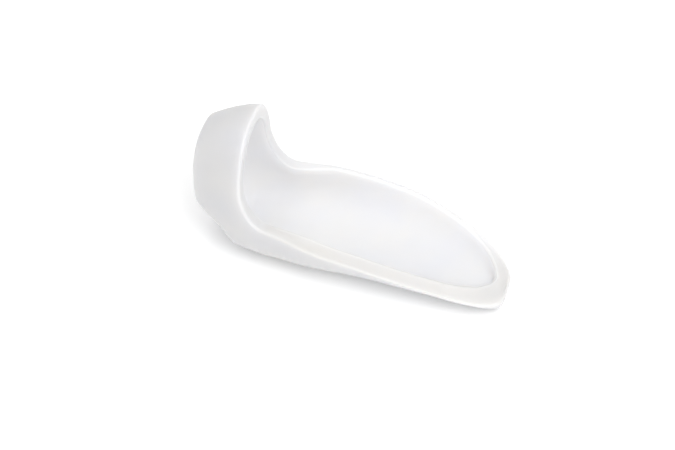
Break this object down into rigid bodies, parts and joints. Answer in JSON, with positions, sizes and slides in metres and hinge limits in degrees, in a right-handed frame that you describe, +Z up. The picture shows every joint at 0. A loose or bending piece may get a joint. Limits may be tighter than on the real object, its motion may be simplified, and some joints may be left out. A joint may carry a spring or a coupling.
{
  "type": "bunion guard",
  "caption": "One-piece soft gel bunion guard: a flared band for the big toe that runs on into a long scoop for the joint.",
  "frame": {"origin": "on the floor under the middle of the guard's length", "axes": "+X from the toe band to the scoop's tip, +Y across, +Z up out of the scoop's hollow"},
  "size_m": [0.079, 0.0347, 0.0376],
  "materials": {
    "milky_gel": "satin milky translucent gel"
  },
  "bodies": {
    "root": {"bunion_guard": "milky_gel"}
  },
  "joints": []
}
